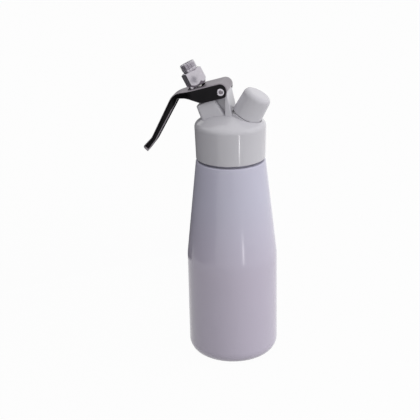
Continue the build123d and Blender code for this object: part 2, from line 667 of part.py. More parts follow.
PIECES = {
    "bottle": make_bottle, "head_shell": make_head_shell, "thread_insert": make_thread_insert,
    "head_gasket": make_head_gasket, "pivot_bush": make_pivot_bush, "valve_stem": make_valve_stem,
    "seat_seal": make_seat_seal, "stem_oring": make_stem_oring, "stem_guide": make_stem_guide,
    "valve_collar": make_valve_collar, "collar_clip": make_collar_clip, "valve_spring": make_valve_spring,
    "nozzle_adapter": make_nozzle_adapter, "lever": make_lever, "pivot_pin": make_pivot_pin,
    "pivot_washers": make_pivot_washers, "charger_inlet": make_charger_inlet,
    "inlet_seal": make_inlet_seal, "charger_seal": make_charger_seal, "piercing_pin": make_piercing_pin,
    "check_band": make_check_band, "check_nut": make_check_nut, "cap_liner": make_cap_liner,
    "charger_cap": make_charger_cap,
}

for name, make in PIECES.items():
    export_step(solid_of(make()), f"parts/{name}.step")
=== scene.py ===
import math
import bpy
from mathutils import Matrix, Vector


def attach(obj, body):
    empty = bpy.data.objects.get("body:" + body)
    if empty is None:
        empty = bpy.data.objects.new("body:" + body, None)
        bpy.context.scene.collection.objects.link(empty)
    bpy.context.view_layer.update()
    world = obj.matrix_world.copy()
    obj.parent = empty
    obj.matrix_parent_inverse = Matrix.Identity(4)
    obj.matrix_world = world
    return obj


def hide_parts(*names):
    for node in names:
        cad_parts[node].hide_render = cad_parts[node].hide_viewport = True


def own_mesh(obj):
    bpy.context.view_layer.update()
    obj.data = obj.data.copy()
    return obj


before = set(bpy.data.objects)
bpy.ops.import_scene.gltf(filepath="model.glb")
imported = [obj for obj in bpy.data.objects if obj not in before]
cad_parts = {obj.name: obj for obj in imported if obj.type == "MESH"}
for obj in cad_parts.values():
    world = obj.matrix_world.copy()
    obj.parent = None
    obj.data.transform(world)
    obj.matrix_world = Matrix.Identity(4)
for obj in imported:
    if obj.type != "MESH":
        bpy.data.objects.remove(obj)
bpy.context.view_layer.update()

# ------------------------------------------------------------------ bottle
# Drawn and necked aluminium bottle for half a litre, with a groove pressed into its base. Outside it
# is sprayed with a lilac-grey gloss lacquer; the neck, its rolled thread and the inside stay bare.
MM = 0.001              # the object's sizes are in millimetres, the studio's in metres
BOTTLE_R, BOTTLE_WALL = 40.0, 1.2
BASE_EDGE_R, CAN_BEND_R = 12.0, 60.0
CONE_LOW_Z, CONE_TOP_R, SHOULDER_Z = 95.0, 30.4, 182.0
GROOVE_IN_R, GROOVE_OUT_R, GROOVE_DEPTH, GROOVE_SLANT, GROOVE_EDGE_R = 22.0, 26.0, 0.8, 0.9, 0.4
NECK_R, NECK_IN_R, NECK_TOP_Z = 24.8, 24.0, 207.2
NECK_THREAD_R, NECK_THREAD_Z, NECK_PITCH, NECK_TURNS = 25.5, 187.6, 4.0, 3
RIDGE_FOOT, RIDGE_CREST, RIDGE_ROOT = 2.4, 0.9, 0.3     # widths of a ridge and its hold in the wall
ROUND_STEPS = 128
WELD = MM / 100         # points closer than this are one point


def rounded(corners, arc_steps=8):
    """Points of an outline whose corners (x, z, radius) are rounded; the two ends stay as they are."""
    points = [tuple(corners[0][:2])]
    for before, here, after in zip(corners, corners[1:], corners[2:]):
        corner, radius = Vector(here[:2]), here[2]
        back = (Vector(before[:2]) - corner).normalized()
        on = (Vector(after[:2]) - corner).normalized()
        if radius == 0 or abs(back.dot(on)) > 0.9999:
            points.append(tuple(corner))
            continue
        half = back.angle(on) / 2
        centre = corner + (back + on).normalized() * radius / math.sin(half)
        start = corner + back * radius / math.tan(half) - centre
        end = corner + on * radius / math.tan(half) - centre
        first = math.atan2(start.y, start.x)
        turn = (math.atan2(end.y, end.x) - first + math.pi) % (2 * math.pi) - math.pi
        for k in range(arc_steps + 1):
            angle = first + turn * k / arc_steps
            points.append((centre.x + radius * math.cos(angle), centre.y + radius * math.sin(angle)))
    points.append(tuple(corners[-1][:2]))
    return points


def drawn(name, points):
    """A bare outline in XZ: one point, extruded from corner to corner. It is left in edit mode."""
    bpy.ops.object.select_all(action="DESELECT")
    bpy.ops.mesh.primitive_plane_add(size=MM)
    piece = bpy.context.object
    piece.name = piece.data.name = name
    bpy.ops.object.mode_set(mode="EDIT")
    bpy.ops.mesh.merge(type="CENTER")
    bpy.ops.transform.translate(value=(points[0][0] * MM, 0, points[0][1] * MM))
    for (x0, z0), (x1, z1) in zip(points, points[1:]):
        bpy.ops.mesh.extrude_region_move(
            TRANSFORM_OT_translate={"value": ((x1 - x0) * MM, 0, (z1 - z0) * MM)})
    return piece


def spun(name, points, steps=ROUND_STEPS):
    """An outline (radius, height) turned once round Z and closed."""
    piece = drawn(name, points)
    bpy.ops.mesh.select_all(action="SELECT")
    bpy.ops.mesh.spin(steps=steps, angle=2 * math.pi, center=(0, 0, 0), axis=(0, 0, 1))
    bpy.ops.mesh.select_all(action="SELECT")
    bpy.ops.mesh.remove_doubles(threshold=WELD)
    bpy.ops.mesh.normals_make_consistent(inside=False)
    bpy.ops.object.mode_set(mode="OBJECT")
    return piece


def apply_step(piece, step):
    """Applies a modifier for good."""
    bpy.ops.object.select_all(action="DESELECT")
    bpy.context.view_layer.objects.active = piece
    piece.select_set(True)
    bpy.ops.object.modifier_apply(modifier=step.name)


def combine(piece, other, how):
    """Joins (UNION), cuts (DIFFERENCE) or crosses (INTERSECT) piece with other, which is used up."""
    step = piece.modifiers.new("combine", "BOOLEAN")
    step.operation = how
    step.solver = "MANIFOLD"
    step.object = other
    apply_step(piece, step)
    bpy.data.objects.remove(other)
    piece.data.materials.clear()
    return piece


def thread_ridge(name, root_r, crest_r, low_z, pitch, turns, foot, crest, steps=ROUND_STEPS):
    """Helical ridge of a right-hand thread, with the widths of its foot and its crest."""
    piece = drawn(name, [(root_r, low_z - foot / 2), (crest_r, low_z - crest / 2),
                         (crest_r, low_z + crest / 2), (root_r, low_z + foot / 2),
                         (root_r, low_z - foot / 2)])
    bpy.ops.mesh.select_all(action="SELECT")
    bpy.ops.mesh.remove_doubles(threshold=WELD)
    bpy.ops.object.mode_set(mode="OBJECT")
    screw = piece.modifiers.new("screw", "SCREW")
    screw.axis = "Z"
    screw.screw_offset = pitch * MM
    screw.iterations = turns
    screw.steps = screw.render_steps = steps
    apply_step(piece, screw)
    bpy.ops.object.mode_set(mode="EDIT")
    bpy.ops.mesh.select_all(action="SELECT")
    bpy.ops.mesh.fill_holes(sides=4)
    bpy.ops.mesh.select_all(action="SELECT")
    bpy.ops.mesh.normals_make_consistent(inside=False)
    bpy.ops.object.mode_set(mode="OBJECT")
    return piece


def smooth(piece, degrees=35):
    """Smooth shading with sharp edges above an angle."""
    bpy.ops.object.select_all(action="DESELECT")
    bpy.context.view_layer.objects.active = piece
    piece.select_set(True)
    bpy.ops.object.shade_smooth_by_angle(angle=math.radians(degrees))


bottle_outside = [(0, 0), (GROOVE_IN_R, 0, GROOVE_EDGE_R),
                  (GROOVE_IN_R + GROOVE_SLANT, GROOVE_DEPTH, GROOVE_EDGE_R),
                  (GROOVE_OUT_R - GROOVE_SLANT, GROOVE_DEPTH, GROOVE_EDGE_R),
                  (GROOVE_OUT_R, 0, GROOVE_EDGE_R), (BOTTLE_R, 0, BASE_EDGE_R),
                  (BOTTLE_R, CONE_LOW_Z, CAN_BEND_R), (CONE_TOP_R, SHOULDER_Z, 1.5),
                  (NECK_R, SHOULDER_Z, 0.8), (NECK_R, NECK_TOP_Z, 0.4), (NECK_IN_R, NECK_TOP_Z, 0.3)]
inside_r, inside_shoulder = BOTTLE_R - BOTTLE_WALL, SHOULDER_Z - BOTTLE_WALL
bottle_inside = [(NECK_IN_R, inside_shoulder, 2.0), (CONE_TOP_R - BOTTLE_WALL, inside_shoulder, 0.75),
                 (inside_r, CONE_LOW_Z - 0.1, CAN_BEND_R),
                 (inside_r, BOTTLE_WALL, BASE_EDGE_R - BOTTLE_WALL), (0, BOTTLE_WALL)]
bottle = spun("bottle_can", rounded(bottle_outside + bottle_inside))
neck_thread = thread_ridge("neck_thread", NECK_R - RIDGE_ROOT, NECK_THREAD_R, NECK_THREAD_Z,
                           NECK_PITCH, NECK_TURNS, RIDGE_FOOT, RIDGE_CREST)
combine(bottle, neck_thread, "UNION")
smooth(bottle)


def new_material(name):
    """A material with its Principled shader, and short hands for adding and joining nodes."""
    material = bpy.data.materials.new(name)
    material.use_nodes = True
    nodes = material.node_tree.nodes
    shader = nodes["Principled BSDF"]

    def add(kind, **values):
        node = nodes.new(kind)
        for key, value in values.items():
            setattr(node, key, value)
        return node

    return material, shader, add, material.node_tree.links.new


def speckle_group():
    """Slow mottling and fine grain: two noises over the coordinates that come in."""
    group = bpy.data.node_groups.new("surface_speckle", "ShaderNodeTree")
    group.interface.new_socket("Vector", in_out="INPUT", socket_type="NodeSocketVector")
    for label in ("Mottle scale", "Grain scale"):
        group.interface.new_socket(label, in_out="INPUT", socket_type="NodeSocketFloat")
    for label in ("Mottle", "Grain"):
        group.interface.new_socket(label, in_out="OUTPUT", socket_type="NodeSocketFloat")
    entry = group.nodes.new("NodeGroupInput")
    leave = group.nodes.new("NodeGroupOutput")
    for label, detail in (("Mottle", 3.0), ("Grain", 2.0)):
        noise = group.nodes.new("ShaderNodeTexNoise")
        noise.inputs["Detail"].default_value = detail
        group.links.new(entry.outputs["Vector"], noise.inputs["Vector"])
        group.links.new(entry.outputs[label + " scale"], noise.inputs["Scale"])
        group.links.new(noise.outputs["Fac"], leave.inputs[label])
    return group


speckle = speckle_group()


def rotation_to(matrix):
    """The turn and shift that bring a point into a tilted axis's own coordinates."""
    back = matrix.inverted()
    return back.to_translation(), back.to_euler()


def finish(name, dark, light, rough, scales, bump, metallic=0.0, turned=None, stretch=(1, 1, 1)):
    """A finish between two close colours, with a changing gloss and a fine relief.

    scales are the mottling's and the grain's. turned is the axis of a piece from the lathe, whose
    marks then run round it; stretch draws the marks out along an axis, as brushing does.
    """
    material, shader, add, join = new_material(name)
    place = add("ShaderNodeTexCoord").outputs["Object"]
    if turned is not None:
        own = add("ShaderNodeMapping")
        own.inputs["Location"].default_value, own.inputs["Rotation"].default_value = rotation_to(turned)
        join(place, own.inputs["Vector"])
        flat = add("ShaderNodeVectorMath", operation="MULTIPLY")
        flat.inputs[1].default_value = (1, 1, 0)
        join(own.outputs["Vector"], flat.inputs[0])
        radius = add("ShaderNodeVectorMath", operation="LENGTH")
        join(flat.outputs["Vector"], radius.inputs[0])
        height = add("ShaderNodeSeparateXYZ")
        join(own.outputs["Vector"], height.inputs["Vector"])
        ring = add("ShaderNodeCombineXYZ")
        join(radius.outputs["Value"], ring.inputs["X"])
        join(height.outputs["Z"], ring.inputs["Z"])
        place = ring.outputs["Vector"]
    elif tuple(stretch) != (1, 1, 1):
        drawn_out = add("ShaderNodeMapping")
        drawn_out.inputs["Scale"].default_value = stretch
        join(place, drawn_out.inputs["Vector"])
        place = drawn_out.outputs["Vector"]
    marks = add("ShaderNodeGroup", node_tree=speckle)
    marks.inputs["Mottle scale"].default_value, marks.inputs["Grain scale"].default_value = scales
    join(place, marks.inputs["Vector"])
    colours = add("ShaderNodeValToRGB")
    for element, position, colour in zip(colours.color_ramp.elements, (0.3, 0.7), (dark, light)):
        element.position = position
        element.color = (*colour, 1)
    join(marks.outputs["Mottle"], colours.inputs["Fac"])
    join(colours.outputs["Color"], shader.inputs["Base Color"])
    gloss = add("ShaderNodeMapRange")
    gloss.inputs["To Min"].default_value, gloss.inputs["To Max"].default_value = rough
    join(marks.outputs["Grain"], gloss.inputs["Value"])
    join(gloss.outputs["Result"], shader.inputs["Roughness"])
    relief = add("ShaderNodeBump")
    relief.inputs["Strength"].default_value = bump
    relief.inputs["Distance"].default_value = 0.02 * MM
    join(marks.outputs["Grain"], relief.inputs["Height"])
    join(relief.outputs["Normal"], shader.inputs["Normal"])
    shader.inputs["Metallic"].default_value = metallic
    return material


PINK_TINT, PINK_FROM_Z, PINK_FULL_Z = (1.0, 0.935, 0.936), 150.0, 85.0
BARE_FOOT_Z, BARE_ABOVE_Z, CAN_MIDDLE_Z = 3.0, SHOULDER_Z + 0.6, 100.0
lacquer = finish("bottle_lacquer", (0.530, 0.518, 0.632), (0.550, 0.538, 0.654), (0.13, 0.19),
                 (18, 900), 0.15)
nodes, join = lacquer.node_tree.nodes, lacquer.node_tree.links.new
# the coat is a touch pinker on the straight part: inputs 6 and 7 of the node are its two colours,
# and output 2 is its colour
coat = nodes.new("ShaderNodeMix")
coat.data_type, coat.blend_type = "RGBA", "MULTIPLY"
coat.inputs[7].default_value = (*PINK_TINT, 1)
height, share = nodes.new("ShaderNodeSeparateXYZ"), nodes.new("ShaderNodeMapRange")
share.inputs["From Min"].default_value = PINK_FROM_Z * MM
share.inputs["From Max"].default_value = PINK_FULL_Z * MM
join(nodes["Texture Coordinate"].outputs["Object"], height.inputs["Vector"])
join(height.outputs["Z"], share.inputs["Value"])
join(share.outputs["Result"], coat.inputs["Factor"])
join(nodes["Color Ramp"].outputs["Color"], coat.inputs[6])
join(coat.outputs[2], nodes["Principled BSDF"].inputs["Base Color"])
ALUMINIUM_DARK, ALUMINIUM_LIGHT = (0.66, 0.65, 0.64), (0.74, 0.73, 0.72)
bare_aluminium = finish("bare_aluminium", ALUMINIUM_DARK, ALUMINIUM_LIGHT, (0.28, 0.42), (400, 3000),
                        0.5, metallic=1.0, turned=Matrix.Identity(4))
bottle.data.materials.append(lacquer)
bottle.data.materials.append(bare_aluminium)
for face in bottle.data.polygons:
    middle, normal = face.center, face.normal
    inward = normal.dot(Vector((middle.x, middle.y, 0))) < 0
    inner_floor = normal.z > 0.5 and middle.z < BARE_FOOT_Z * MM
    inner_shoulder = normal.z < -0.5 and middle.z > CAN_MIDDLE_Z * MM
    if inward or inner_floor or inner_shoulder or middle.z > BARE_ABOVE_Z * MM:
        face.material_index = 1
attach(bottle, "bottle")
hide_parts("bottle")

# ------------------------------------------------------------------ thread ring of the head
# Turned aluminium ring pressed into the head, with an inside thread that meets the bottle's neck.
# Its ridges lie half a pitch above the neck's, so both screw together without touching.
RING_R, RING_IN_R, RING_THREAD_R, RING_EDGE_R = 27.9, 25.9, 25.1, 0.3
RING_LOW, RING_TOP = 186.5, 204.5
RING_RIDGE_ROOT, RING_THREAD_Z = 0.4, NECK_THREAD_Z + NECK_PITCH / 2 - 0.1
ring_seam = (RING_R - 0.7, RING_LOW)        # the outline starts and ends on the flat of its foot
ring_corners = [(RING_R, RING_LOW), (RING_R, RING_TOP), (RING_IN_R, RING_TOP), (RING_IN_R, RING_LOW)]
ring_line = [ring_seam, *[(*corner, RING_EDGE_R) for corner in ring_corners], ring_seam]
insert_ring = spun("thread_ring", rounded(ring_line, 3))
ring_thread = thread_ridge("ring_thread", RING_IN_R + RING_RIDGE_ROOT, RING_THREAD_R, RING_THREAD_Z,
                           NECK_PITCH, NECK_TURNS, RIDGE_FOOT, RIDGE_CREST)
combine(insert_ring, ring_thread, "UNION")
smooth(insert_ring)
insert_ring.data.materials.append(bare_aluminium)
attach(insert_ring, "head")
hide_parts("thread_insert")

# ------------------------------------------------------------------ head shell
# One moulding of grey-white gloss plastic: skirt, low dome, valve tower, pivot post and the sunk
# seat of the cap. The moulding has a faint orange-peel skin.


def dress(node, material):
    """Gives a piece that is carried over from the frame its finish."""
    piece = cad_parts[node]
    piece.data.materials.clear()
    piece.data.materials.append(material)


plastic = finish("head_plastic", (0.552, 0.541, 0.580), (0.576, 0.565, 0.604), (0.08, 0.13),
                 (30, 1400), 0.12)
dress("head_shell", plastic)

# ------------------------------------------------------------------ head gasket
# Flat ring of soft red silicone, moulded and a little dusty. It stays in the head and is pressed on
# the bottle's lip as the head is screwed down.
silicone = finish("red_silicone", (0.42, 0.07, 0.05), (0.48, 0.10, 0.07), (0.45, 0.6),
                  (90, 2500), 0.3)
dress("head_gasket", silicone)

# ------------------------------------------------------------------ pivot bush
# Plain bush of sintered bronze, soaked in oil and pressed through the head's post. The lever's
# rivet turns in it.
bronze = finish("sintered_bronze", (0.42, 0.26, 0.11), (0.52, 0.34, 0.16), (0.4, 0.55),
                (300, 4000), 0.6, metallic=1.0)
dress("pivot_bush", bronze)

# ------------------------------------------------------------------ valve stem and its seals
# Hollow stem turned from stainless steel. A flat seal closes against the seat below, an O-ring keeps
# the cream out of the spring, and a white acetal guide keeps the stem in line.
VALVE_TILT, VALVE_FOOT = 27.0, 192.5
valve_axis = (Matrix.Translation((0, 0, VALVE_FOOT * MM))
              @ Matrix.Rotation(math.radians(-VALVE_TILT), 4, "Y"))
stem_steel = finish("turned_steel", (0.50, 0.49, 0.49), (0.60, 0.59, 0.59), (0.2, 0.34),
                    (500, 5000), 0.4, metallic=1.0, turned=valve_axis)
black_rubber = finish("black_rubber", (0.018, 0.018, 0.019), (0.03, 0.03, 0.031), (0.45, 0.62),
                      (60, 2500), 0.4)
acetal = finish("white_acetal", (0.70, 0.70, 0.67), (0.75, 0.75, 0.72), (0.35, 0.5),
                (60, 2500), 0.3)
dress("valve_stem", stem_steel)
dress("seat_seal", silicone)
dress("stem_oring", black_rubber)
dress("stem_guide", acetal)

# ------------------------------------------------------------------ valve spring
# Compression spring of stainless wire with a closed turn at each end, between guide and collar.
# It is squeezed as the lever pushes the collar down.
SPRING_LOW, SPRING_HIGH, SPRING_R, WIRE_R = 42.75, 54.18, 4.9, 0.5
SPRING_TURNS, CLOSED_TURNS, PER_TURN = 6, 1, 28
CLOSED_PITCH = 2 * WIRE_R * 1.03
spring_rise = SPRING_HIGH - SPRING_LOW
open_turns = SPRING_TURNS - 2 * CLOSED_TURNS
open_pitch = (spring_rise - 2 * CLOSED_TURNS * CLOSED_PITCH) / open_turns


def spring_height(turn):
    """Height of the wire's middle after so many turns."""
    low = min(turn, CLOSED_TURNS)
    high = max(turn - (SPRING_TURNS - CLOSED_TURNS), 0)
    return SPRING_LOW + (low + high) * CLOSED_PITCH + (turn - low - high) * open_pitch


wire = bpy.data.curves.new("spring_wire", "CURVE")
wire.dimensions = "3D"
wire.bevel_depth = WIRE_R * MM
wire.bevel_resolution = 3
wire.use_fill_caps = True
run = wire.splines.new("POLY")
run.points.add(SPRING_TURNS * PER_TURN)
for k, point in enumerate(run.points):
    angle = 2 * math.pi * k / PER_TURN
    point.co = (SPRING_R * MM * math.cos(angle), SPRING_R * MM * math.sin(angle),
                spring_height(k / PER_TURN) * MM, 1)
spring = bpy.data.objects.new("stem_spring", wire)
bpy.context.scene.collection.objects.link(spring)


def set_on(piece, axis):
    """Brings a piece that was made upright onto its tilted axis, with its place in its mesh."""
    bpy.ops.object.select_all(action="DESELECT")
    bpy.context.view_layer.objects.active = piece
    piece.select_set(True)
    if piece.type == "CURVE":
        bpy.ops.object.convert(target="MESH")
        bpy.ops.object.mode_set(mode="EDIT")
        bpy.ops.mesh.select_all(action="SELECT")
        bpy.ops.mesh.remove_doubles(threshold=WELD)
        bpy.ops.object.mode_set(mode="OBJECT")
    piece.matrix_world = axis
    bpy.ops.object.transform_apply(location=True, rotation=True, scale=True)


set_on(spring, valve_axis)
smooth(spring, 60)
wire_steel = finish("spring_wire_steel", (0.42, 0.42, 0.43), (0.52, 0.52, 0.53), (0.22, 0.34),
                    (500, 5000), 0.4, metallic=1.0)
spring.data.materials.append(wire_steel)
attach(spring, "head")
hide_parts("valve_spring")
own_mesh(spring)

# ------------------------------------------------------------------ collar and clip
# Polished steel cup over the spring: the lever's plate rolls on its round top. A spring clip in a
# groove of the stem holds it up.
# the collar's steel is coloured darker than the other steel: painted shade under the lever's plate
collar_steel = finish("polished_steel", (0.30, 0.29, 0.30), (0.36, 0.35, 0.36), (0.12, 0.24),
                      (500, 4000), 0.3, metallic=1.0, turned=valve_axis)
dress("valve_collar", collar_steel)
dress("collar_clip", wire_steel)

# ------------------------------------------------------------------ nozzle adapter
# Hexagonal adapter turned and milled from stainless bar, glued on the stem: rounded foot, six flats,
# a relief groove and a short thread for the decorating nozzles, bored right through.
HEX_LOW, HEX_TOP, HEX_FLATS, HEX_TURN = 61.006, 75.106, 16.0, -15.5
HEX_R = HEX_FLATS / math.sqrt(3)
HEX_TURNED_R = HEX_R + 0.05             # clear of the corners
HEX_FOOT_R, HEX_FOOT_LEN, HEX_CHAMFER = 7.04, 3.6, 0.9
HEX_EDGE_BREAK, HEX_EDGE_ANGLE = 0.22, 28.0
RELIEF_R = 5.9
NOZZLE_LOW, NOZZLE_END, NOZZLE_ROOT_R, NOZZLE_R = 76.0, 82.506, 6.15, 6.85
NOZZLE_THREAD_Z, NOZZLE_PITCH, NOZZLE_TURNS = NOZZLE_LOW + 0.55, 1.25, 5
NOZZLE_RIDGE_FOOT, NOZZLE_RIDGE_CREST, NOZZLE_RIDGE_ROOT = 1.2, 0.16, 0.25
BORE_R, BORE_CONE_LEN, BORE_FLARE = 4.3, 3.0, 0.5
STEM_BORE_R, STEM_R, STEM_TOP = 1.7, 3.0, 69.0
FINE_STEPS = 72
CLEAR = 1.0                             # how far a cut runs past the piece

bpy.ops.object.select_all(action="DESELECT")
bpy.ops.mesh.primitive_cylinder_add(vertices=6, radius=HEX_R * MM, depth=(HEX_TOP - HEX_LOW) * MM,
                                    location=(0, 0, (HEX_TOP + HEX_LOW) / 2 * MM),
                                    rotation=(0, 0, math.radians(HEX_TURN)))
adapter = bpy.context.object
adapter.name = adapter.data.name = "hex_adapter"
bpy.ops.object.transform_apply(location=True, rotation=True, scale=True)
turning = [(0, HEX_LOW), (HEX_FOOT_R, HEX_LOW, 0.4), (HEX_TURNED_R, HEX_LOW + HEX_FOOT_LEN, 0),
           (HEX_TURNED_R, HEX_TOP - HEX_CHAMFER, 0), (HEX_R - 2 * HEX_CHAMFER, HEX_TOP, 0), (0, HEX_TOP)]
combine(adapter, spun("hex_turning", rounded(turning, 4)), "INTERSECT")
edges = adapter.modifiers.new("broken_edges", "BEVEL")
edges.width = HEX_EDGE_BREAK * MM
edges.segments = 2
edges.limit_method = "ANGLE"
edges.angle_limit = math.radians(HEX_EDGE_ANGLE)
apply_step(adapter, edges)
neck = [(0, HEX_TOP - CLEAR), (RELIEF_R, HEX_TOP - CLEAR, 0), (RELIEF_R, NOZZLE_LOW, 0.2),
        (NOZZLE_ROOT_R, NOZZLE_LOW, 0), (NOZZLE_ROOT_R, NOZZLE_END, 0.2), (0, NOZZLE_END)]
combine(adapter, spun("nozzle_neck", rounded(neck, 4), 96), "UNION")
screw_thread = thread_ridge("nozzle_thread", NOZZLE_ROOT_R - NOZZLE_RIDGE_ROOT, NOZZLE_R,
                            NOZZLE_THREAD_Z, NOZZLE_PITCH, NOZZLE_TURNS,
                            NOZZLE_RIDGE_FOOT, NOZZLE_RIDGE_CREST, FINE_STEPS)
crop = [(0, NOZZLE_LOW), (NOZZLE_R + 0.1, NOZZLE_LOW), (NOZZLE_R + 0.1, NOZZLE_END - 0.8),
        (NOZZLE_ROOT_R - 0.1, NOZZLE_END - 0.1), (0, NOZZLE_END - 0.1)]
combine(screw_thread, spun("thread_crop", crop, FINE_STEPS), "INTERSECT")
combine(adapter, screw_thread, "UNION")
bore = [(0, HEX_LOW - CLEAR), (STEM_R, HEX_LOW - CLEAR), (STEM_R, STEM_TOP), (STEM_BORE_R, STEM_TOP),
        (BORE_R, STEM_TOP + BORE_CONE_LEN), (BORE_R, NOZZLE_END - 0.4),
        (BORE_R + BORE_FLARE, NOZZLE_END + 0.1), (BORE_R + BORE_FLARE, NOZZLE_END + CLEAR),
        (0, NOZZLE_END + CLEAR)]
combine(adapter, spun("adapter_bore", bore, FINE_STEPS), "DIFFERENCE")
set_on(adapter, valve_axis)
smooth(adapter, 30)
adapter_steel = finish("adapter_steel", (0.50, 0.475, 0.52), (0.57, 0.54, 0.585), (0.12, 0.22),
                       (300, 4000), 0.12, metallic=1.0, stretch=(1, 1, 6))
adapter.data.materials.append(adapter_steel)
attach(adapter, "valve")
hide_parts("nozzle_adapter")

# ------------------------------------------------------------------ lever
# One blank of stainless sheet, pressed: a plate rolled over the post, two cheeks, and a channel for
# the fingers whose flanges run round the flared tip. The plate is brushed; the cheeks and flanges carry a
# painted dark reflection.

# the side view: the hood, the plate, the handle and its flared end
PIVOT, SHEET = (-5.3, 244.7), 1.2
PLATE_TILT, PLATE_H, PLATE_LEN = 16.0, 7.6, 36.5
HOOD_R, HOOD_END, HOOD_STEPS = 6.0, -12.0, 14
BEND_R, HANDLE_TILT, HANDLE_LEN = 16.0, 63.2, 36.7
FLARE_R, FLARE_TURN, FLARE_LEN, TIP_H = 15.0, 16.5, 10.6, 6.0
# the side view: the free edge of the cheeks and of the flanges
CHEEK_DROP, BELLY_LEN, BELLY_R, BELLY_TURN, NOSE_R = 5.8, 19.2, 9.0, 32.0, 3.2
SADDLE_DROP, SADDLE_TURN, SADDLE_R, SADDLE_BEND_R = 8.7, 10.0, 1.6, 16.0
FLANGE_H, FLANGE_TAPER, FLANGE_END_H, FLANGE_BEND_R, TIP_CORNER_R = 6.1, 38.0, 4.8, 14.0, 1.6
# the plan, with the round end of the tip and the slot round the stem
HALF_W, HANDLE_W, TIP_W = 13.0, 6.6, 5.0
CHEEK_LEN, NARROW_LEN, NARROW_R = 28.5, 13.0, 16.0
TIP_SPARE, TIP_FLAT, TIP_REACH = 0.6, 0.9, 100.0
SLOT_NEAR, SLOT_FAR, SLOT_W, SLOT_CORNER_R = 15.2, 29.4, 7.0, 1.5
# the rounded edges, and the blocks that cut the sheet
SHEET_BEND_R, EDGE_R, LINE_STEPS = 1.9, 0.8, 10
RIVET_R, BLOCK_H, ROOM_X, ROOM_DROP = 2.0, 600.0, 60.0, 6.0
FINE_WELD = MM / 1000
plate_way, handle_way = 180 + PLATE_TILT, 180 + HANDLE_TILT
flare_way = handle_way - FLARE_TURN


def beside(start, way, along, depth):
    """A point that lies along a heading from start, and depth to the left of it."""
    c, s = math.cos(math.radians(way)), math.sin(math.radians(way))
    return (start[0] + along * c - depth * s, start[1] + along * s + depth * c)


def crossing(a, way_a, b, way_b):
    """Where a line from a and a line from b cross."""
    ax, az = math.cos(math.radians(way_a)), math.sin(math.radians(way_a))
    bx, bz = math.cos(math.radians(way_b)), math.sin(math.radians(way_b))
    along = ((b[0] - a[0]) * bz - (b[1] - a[1]) * bx) / (ax * bz - az * bx)
    return (a[0] + along * ax, a[1] + along * az)


hood_middle = beside(PIVOT, plate_way, 0, HOOD_R - PLATE_H)
plate_start = beside(PIVOT, plate_way, 0, -PLATE_H)
bend_reach = BEND_R * math.tan(math.radians(HANDLE_TILT - PLATE_TILT) / 2)
flare_reach = FLARE_R * math.tan(math.radians(FLARE_TURN) / 2)
bend_at = beside(plate_start, plate_way, PLATE_LEN + bend_reach, 0)
flare_at = beside(bend_at, handle_way, bend_reach + HANDLE_LEN + flare_reach, 0)
tip_at = beside(flare_at, flare_way, flare_reach + FLARE_LEN, 0)


def back_line(inset):
    """Corners of the sheet's line from the hood to the tip, and the points of the hood's roll."""
    hood = [beside(hood_middle, HOOD_END + k * (90 + PLATE_TILT - HOOD_END) / HOOD_STEPS, HOOD_R - inset, 0)
            for k in range(HOOD_STEPS + 1)]
    bend = crossing(beside(plate_start, plate_way, 0, inset), plate_way,
                    beside(bend_at, handle_way, 0, inset), handle_way)
    flare = crossing(beside(flare_at, handle_way, 0, inset), handle_way,
                     beside(flare_at, flare_way, 0, inset), flare_way)
    tip = beside(tip_at, flare_way, -inset, inset)
    return hood, [(*bend, BEND_R - inset), (*flare, FLARE_R + inset), (*tip, 0)]


def slab(name, plan, at=(0, 0), turn=0.0):
    """A tall block with a drawn plan (x, y), set at a point of XZ and tilted about Y."""
    block = drawn(name, [*plan, plan[0]])
    bpy.ops.mesh.select_all(action="SELECT")
    bpy.ops.mesh.remove_doubles(threshold=FINE_WELD)
    bpy.ops.mesh.select_all(action="SELECT")
    bpy.ops.mesh.edge_face_add()
    bpy.ops.mesh.extrude_region_move(TRANSFORM_OT_translate={"value": (0, BLOCK_H * MM, 0)})
    bpy.ops.mesh.select_all(action="SELECT")
    bpy.ops.transform.translate(value=(0, -BLOCK_H / 2 * MM, 0))
    bpy.ops.mesh.normals_make_consistent(inside=False)
    bpy.ops.object.mode_set(mode="OBJECT")
    block.matrix_world = (Matrix.Translation((at[0] * MM, 0, at[1] * MM))
                          @ Matrix.Rotation(math.radians(-turn), 4, "Y")
                          @ Matrix.Rotation(math.radians(-90), 4, "X"))
    bpy.ops.object.transform_apply(location=True, rotation=True, scale=True)
    return block


def mirrored_plan(half):
    """A closed outline from its half at +Y."""
    return half + [(x, -y) for x, y in reversed(half) if y > 0]


def pressed_form(name, outline, inset):
    """A side view given its width, crossed with the plan and with the round end of the tip."""
    form = slab(name, outline)
    form.matrix_world = Matrix.Rotation(math.radians(90), 4, "X")
    bpy.ops.object.transform_apply(location=True, rotation=True, scale=True)
    wide, mid, narrow = HALF_W - inset, HANDLE_W - inset, TIP_W - inset
    cheek = PIVOT[0] - CHEEK_LEN
    half = rounded([(PIVOT[0] + 2 * HOOD_R, wide), (cheek, wide, NARROW_R),
                    (cheek - NARROW_LEN, mid, NARROW_R), (tip_at[0] - TIP_W, narrow)], 6)
    combine(form, slab(name + "_plan", mirrored_plan(half)), "INTERSECT")
    side = narrow + TIP_SPARE
    half = rounded([(2 * TIP_REACH, BLOCK_H), (TIP_REACH / 10, BLOCK_H, 0), (TIP_REACH / 10, side, 0),
                    (inset, side, side - TIP_FLAT), (inset, 0)], 8)
    return combine(form, slab(name + "_tip", mirrored_plan(half), tip_at, flare_way - 180), "INTERSECT")


# a face lies along a line within so many millimetres, with no more than a share of its normal
# across the lever; an edge is rounded where its faces turn by more than an angle in radians
ON_LINE, ACROSS_SHARE, SHARP_TURN = 0.03, 0.3, 0.9


